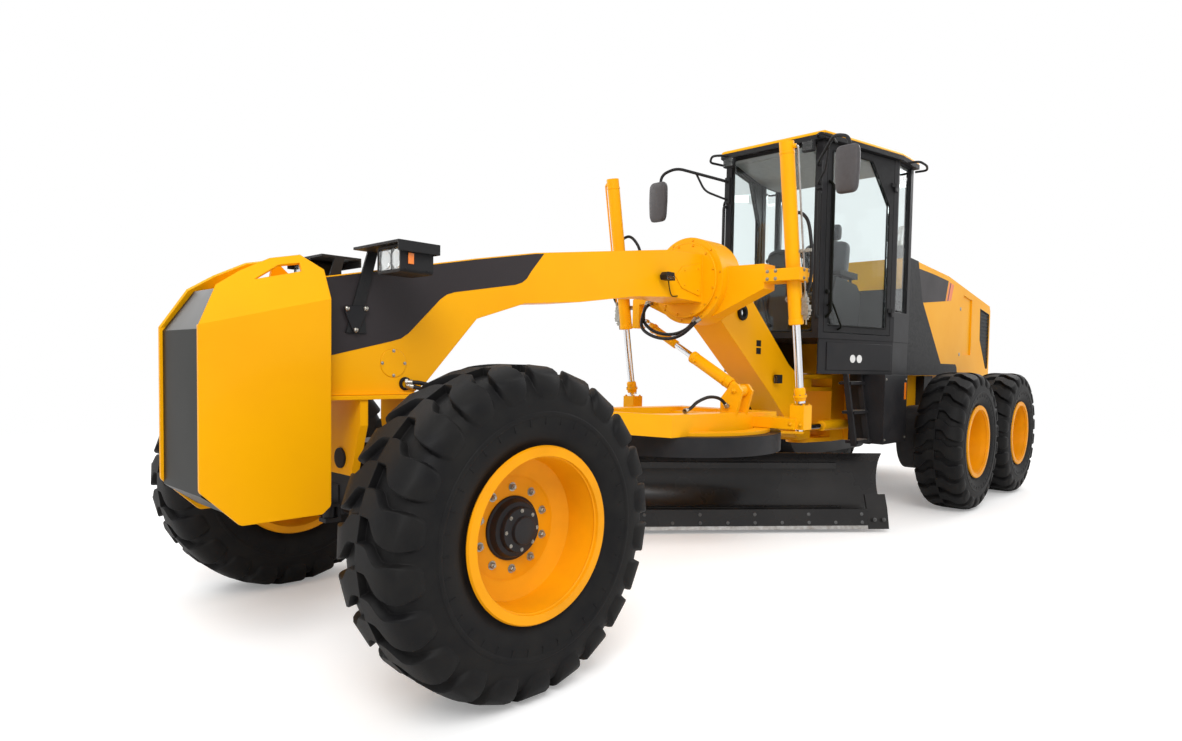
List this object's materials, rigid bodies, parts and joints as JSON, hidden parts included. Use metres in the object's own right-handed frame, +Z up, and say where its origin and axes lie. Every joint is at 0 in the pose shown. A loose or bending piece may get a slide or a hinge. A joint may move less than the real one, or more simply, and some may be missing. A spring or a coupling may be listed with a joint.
{
  "type": "motor grader",
  "caption": "Articulated motor grader with a turning circle and curved blade under a long arched frame, glazed cab, rear engine hood and tandem rear wheels.",
  "frame": {"origin": "on the ground, on the machine's centre plane, 3.75 m behind the front axle", "axes": "+X the driving direction, +Y the machine's left, +Z up"},
  "size_m": [9.386, 2.9115, 3.375],
  "materials": {
    "tyre": "matt",
    "yellow_paint": "gloss",
    "charcoal_paint": "satin",
    "black_gloss": "gloss",
    "chrome_rod": "polished",
    "steel": "worn",
    "clear_glass": "clear",
    "seat_fabric": "woven",
    "black_plastic": "matt",
    "lamp_plastic": "matt",
    "pipe_steel": "satin",
    "mirror_housing": "matt"
  },
  "bodies": {
    "rear": {"rear_frame": "yellow_paint", "tandems": "charcoal_paint", "engine": "steel", "hood": "yellow_paint", "hood_panels": "black_plastic", "grille": "black_plastic", "exhaust": "pipe_steel", "ladders": "charcoal_paint", "side_boxes": "charcoal_paint", "cab_shell": "charcoal_paint", "cab_roof": "charcoal_paint", "cab_glass": "clear_glass", "seat": "seat_fabric", "steering_column": "black_plastic", "mirrors": "mirror_housing"},
    "front": {"front_frame": "yellow_paint", "nose_plates": "yellow_paint", "nose_panel": "black_gloss", "front_axle": "charcoal_paint", "saddle": "yellow_paint", "headlamps": "lamp_plastic"},
    "drawbar": {"drawbar": "yellow_paint"},
    "circle": {"circle": "yellow_paint"},
    "blade_carrier": {"blade_carrier": "yellow_paint"},
    "blade": {"blade": "yellow_paint"},
    "tip_barrel": {"tip_barrel": "yellow_paint"},
    "tip_rod": {"tip_rod": "chrome_rod"},
    "shift_barrel": {"shift_barrel": "yellow_paint"},
    "shift_rod": {"shift_rod": "chrome_rod"},
    "tie_rod": {"tie_rod": "steel"},
    "artic_barrel_left": {"artic_barrel_left": "yellow_paint"},
    "artic_rod_left": {"artic_rod_left": "chrome_rod"},
    "artic_barrel_right": {"artic_barrel_right": "yellow_paint"},
    "artic_rod_right": {"artic_rod_right": "chrome_rod"},
    "knuckle_left": {"knuckle_left": "charcoal_paint"},
    "steering_barrel_left": {"steering_barrel_left": "charcoal_paint"},
    "steering_rod_left": {"steering_rod_left": "chrome_rod"},
    "knuckle_right": {"knuckle_right": "charcoal_paint"},
    "steering_barrel_right": {"steering_barrel_right": "charcoal_paint"},
    "steering_rod_right": {"steering_rod_right": "chrome_rod"},
    "wheel_front_left": {"tyre_front_left": "tyre", "rim_front_left": "yellow_paint"},
    "wheel_front_right": {"tyre_front_right": "tyre", "rim_front_right": "yellow_paint"},
    "wheel_middle_left": {"tyre_middle_left": "tyre", "rim_middle_left": "yellow_paint"},
    "wheel_middle_right": {"tyre_middle_right": "tyre", "rim_middle_right": "yellow_paint"},
    "wheel_rear_left": {"tyre_rear_left": "tyre", "rim_rear_left": "yellow_paint"},
    "wheel_rear_right": {"tyre_rear_right": "tyre", "rim_rear_right": "yellow_paint"},
    "lift_barrel_left": {"lift_barrel_left": "yellow_paint"},
    "lift_rod_left": {"lift_rod_left": "chrome_rod"},
    "lift_barrel_right": {"lift_barrel_right": "yellow_paint"},
    "lift_rod_right": {"lift_rod_right": "chrome_rod"},
    "door_left": {"door_left": "black_plastic", "door_glass_left": "clear_glass"},
    "door_right": {"door_right": "black_plastic", "door_glass_right": "clear_glass"}
  },
  "joints": [
    {"name": "articulation", "type": "hinge", "parent": "rear", "child": "front", "pos_m": [-0.65, 0, 0.98], "axis": [0, 0, -1], "range_deg": [-25, 25]},
    {"name": "artic_barrel_turn_left", "type": "hinge", "parent": "rear", "child": "artic_barrel_left", "pos_m": [-1.15, 0.33, 0.83], "axis": [0, 0, -1], "range_deg": [-14, 14]},
    {"name": "artic_rod_slide_left", "type": "slide", "parent": "artic_barrel_left", "child": "artic_rod_left", "axis": [0.9992, -0.04, 0], "range_m": [-0.15, 0.15]},
    {"name": "artic_barrel_turn_right", "type": "hinge", "parent": "rear", "child": "artic_barrel_right", "pos_m": [-1.15, -0.33, 0.83], "axis": [0, 0, -1], "range_deg": [-14, 14]},
    {"name": "artic_rod_slide_right", "type": "slide", "parent": "artic_barrel_right", "child": "artic_rod_right", "axis": [0.9992, 0.04, 0], "range_m": [-0.15, 0.15]},
    {"name": "steer_left", "type": "hinge", "parent": "front", "child": "knuckle_left", "pos_m": [3.75, 0.75, 0.674], "axis": [0, 0, 1], "range_deg": [-40, 40]},
    {"name": "steering_barrel_turn_left", "type": "hinge", "parent": "front", "child": "steering_barrel_left", "pos_m": [3.9, 0.19, 0.5663], "axis": [0, 0, 1], "range_deg": [-4, 4]},
    {"name": "steering_rod_slide_left", "type": "slide", "parent": "steering_barrel_left", "child": "steering_rod_left", "axis": [0, 1, 0], "range_m": [-0.11, 0.11]},
    {"name": "steer_right", "type": "hinge", "parent": "front", "child": "knuckle_right", "pos_m": [3.75, -0.75, 0.674], "axis": [0, 0, 1], "range_deg": [-40, 40]},
    {"name": "steering_barrel_turn_right", "type": "hinge", "parent": "front", "child": "steering_barrel_right", "pos_m": [3.9, -0.19, 0.5663], "axis": [0, 0, 1], "range_deg": [-4, 4]},
    {"name": "steering_rod_slide_right", "type": "slide", "parent": "steering_barrel_right", "child": "steering_rod_right", "axis": [0, -1, 0], "range_m": [-0.11, 0.11]},
    {"name": "tie_rod_turn", "type": "hinge", "parent": "knuckle_left", "child": "tie_rod", "pos_m": [3.55, 0.72, 0.46], "axis": [0, 0, 1], "range_deg": [-40, 40]},
    {"name": "wheel_spin_front_left", "type": "hinge", "parent": "knuckle_left", "child": "wheel_front_left", "pos_m": [3.75, 1.09, 0.674], "axis": [0, 1, 0], "continuous": true},
    {"name": "wheel_spin_front_right", "type": "hinge", "parent": "knuckle_right", "child": "wheel_front_right", "pos_m": [3.75, -1.09, 0.674], "axis": [0, 1, 0], "continuous": true},
    {"name": "wheel_spin_middle_left", "type": "hinge", "parent": "rear", "child": "wheel_middle_left", "pos_m": [-1.89, 1.09, 0.674], "axis": [0, 1, 0], "continuous": true},
    {"name": "wheel_spin_middle_right", "type": "hinge", "parent": "rear", "child": "wheel_middle_right", "pos_m": [-1.89, -1.09, 0.674], "axis": [0, 1, 0], "continuous": true},
    {"name": "wheel_spin_rear_left", "type": "hinge", "parent": "rear", "child": "wheel_rear_left", "pos_m": [-3.41, 1.09, 0.674], "axis": [0, 1, 0], "continuous": true},
    {"name": "wheel_spin_rear_right", "type": "hinge", "parent": "rear", "child": "wheel_rear_right", "pos_m": [-3.41, -1.09, 0.674], "axis": [0, 1, 0], "continuous": true},
    {"name": "drawbar_lift", "type": "hinge", "parent": "front", "child": "drawbar", "pos_m": [3.48, 0, 1.08], "axis": [0, 1, 0], "range_deg": [-12, 8.5]},
    {"name": "lift_barrel_turn_left", "type": "hinge", "parent": "front", "child": "lift_barrel_left", "pos_m": [0.985, 0.825, 2.017], "axis": [0, 1, 0], "range_deg": [-7, 7]},
    {"name": "lift_rod_slide_left", "type": "slide", "parent": "lift_barrel_left", "child": "lift_rod_left", "axis": [-0.1639, 0, -0.9865], "range_m": [-0.47, 0.56]},
    {"name": "lift_barrel_turn_right", "type": "hinge", "parent": "front", "child": "lift_barrel_right", "pos_m": [0.985, -0.825, 2.017], "axis": [0, 1, 0], "range_deg": [-7, 7]},
    {"name": "lift_rod_slide_right", "type": "slide", "parent": "lift_barrel_right", "child": "lift_rod_right", "axis": [-0.1639, 0, -0.9865], "range_m": [-0.47, 0.56]},
    {"name": "shift_barrel_turn", "type": "hinge", "parent": "drawbar", "child": "shift_barrel", "pos_m": [1.065, 0.45, 1.18], "axis": [1, 0, 0], "range_deg": [-27, 20]},
    {"name": "shift_rod_slide", "type": "slide", "parent": "shift_barrel", "child": "shift_rod", "axis": [-0.0139, -0.873, 0.4876], "range_m": [-0.25, 0.25]},
    {"name": "circle_turn", "type": "hinge", "parent": "drawbar", "child": "circle", "pos_m": [1.21, 0, 0.81], "axis": [0, 0, 1], "continuous": true},
    {"name": "blade_tip", "type": "hinge", "parent": "circle", "child": "blade_carrier", "pos_m": [0.78176, -0.47561, 0.25], "axis": [-0.7431, 0.6691, 0], "range_deg": [-5, 40]},
    {"name": "blade_side_shift", "type": "slide", "parent": "blade_carrier", "child": "blade", "axis": [-0.7431, 0.6691, 0], "range_m": [-0.5, 0.5]},
    {"name": "tip_barrel_turn", "type": "hinge", "parent": "circle", "child": "tip_barrel", "pos_m": [0.54087, -0.74314, 0.65], "axis": [-0.7431, 0.6691, 0], "range_deg": [-2, 6]},
    {"name": "tip_rod_slide", "type": "slide", "parent": "tip_barrel", "child": "tip_rod", "axis": [0.6609, 0.7341, -0.156], "range_m": [-0.05, 0.25]},
    {"name": "door_open_left", "type": "hinge", "parent": "rear", "child": "door_left", "pos_m": [-1.0055, 0.7385, 2.47], "axis": [0, 0, 1], "range_deg": [0, 80]},
    {"name": "door_open_right", "type": "hinge", "parent": "rear", "child": "door_right", "pos_m": [-1.0055, -0.7385, 2.47], "axis": [0, 0, -1], "range_deg": [0, 80]}
  ],
  "couplings": [
    {"joint": "artic_barrel_turn_left", "follows": "articulation", "ratio": 0.48765},
    {"joint": "artic_rod_slide_left", "follows": "articulation", "m_per_rad": 0.3073},
    {"joint": "artic_barrel_turn_right", "follows": "articulation", "ratio": 0.48765},
    {"joint": "artic_rod_slide_right", "follows": "articulation", "m_per_rad": -0.3073},
    {"joint": "steer_right", "follows": "steer_left", "ratio": 1},
    {"joint": "tie_rod_turn", "follows": "steer_left", "ratio": -1},
    {"joint": "steering_barrel_turn_left", "follows": "steer_left", "ratio": -0.05077},
    {"joint": "steering_rod_slide_left", "follows": "steer_left", "m_per_rad": 0.13444},
    {"joint": "steering_barrel_turn_right", "follows": "steer_left", "ratio": -0.05077},
    {"joint": "steering_rod_slide_right", "follows": "steer_left", "m_per_rad": -0.13444},
    {"joint": "lift_barrel_turn_left", "follows": "drawbar_lift", "ratio": 0.47899},
    {"joint": "lift_rod_slide_left", "follows": "drawbar_lift", "m_per_rad": -2.605},
    {"joint": "lift_barrel_turn_right", "follows": "drawbar_lift", "ratio": 0.47899},
    {"joint": "lift_rod_slide_right", "follows": "drawbar_lift", "m_per_rad": -2.605},
    {"joint": "shift_barrel_turn", "follows": "drawbar_lift", "ratio": 2.12},
    {"joint": "shift_rod_slide", "follows": "drawbar_lift", "m_per_rad": -1},
    {"joint": "tip_barrel_turn", "follows": "blade_tip", "ratio": 0.1105},
    {"joint": "tip_rod_slide", "follows": "blade_tip", "m_per_rad": 0.33103}
  ]
}
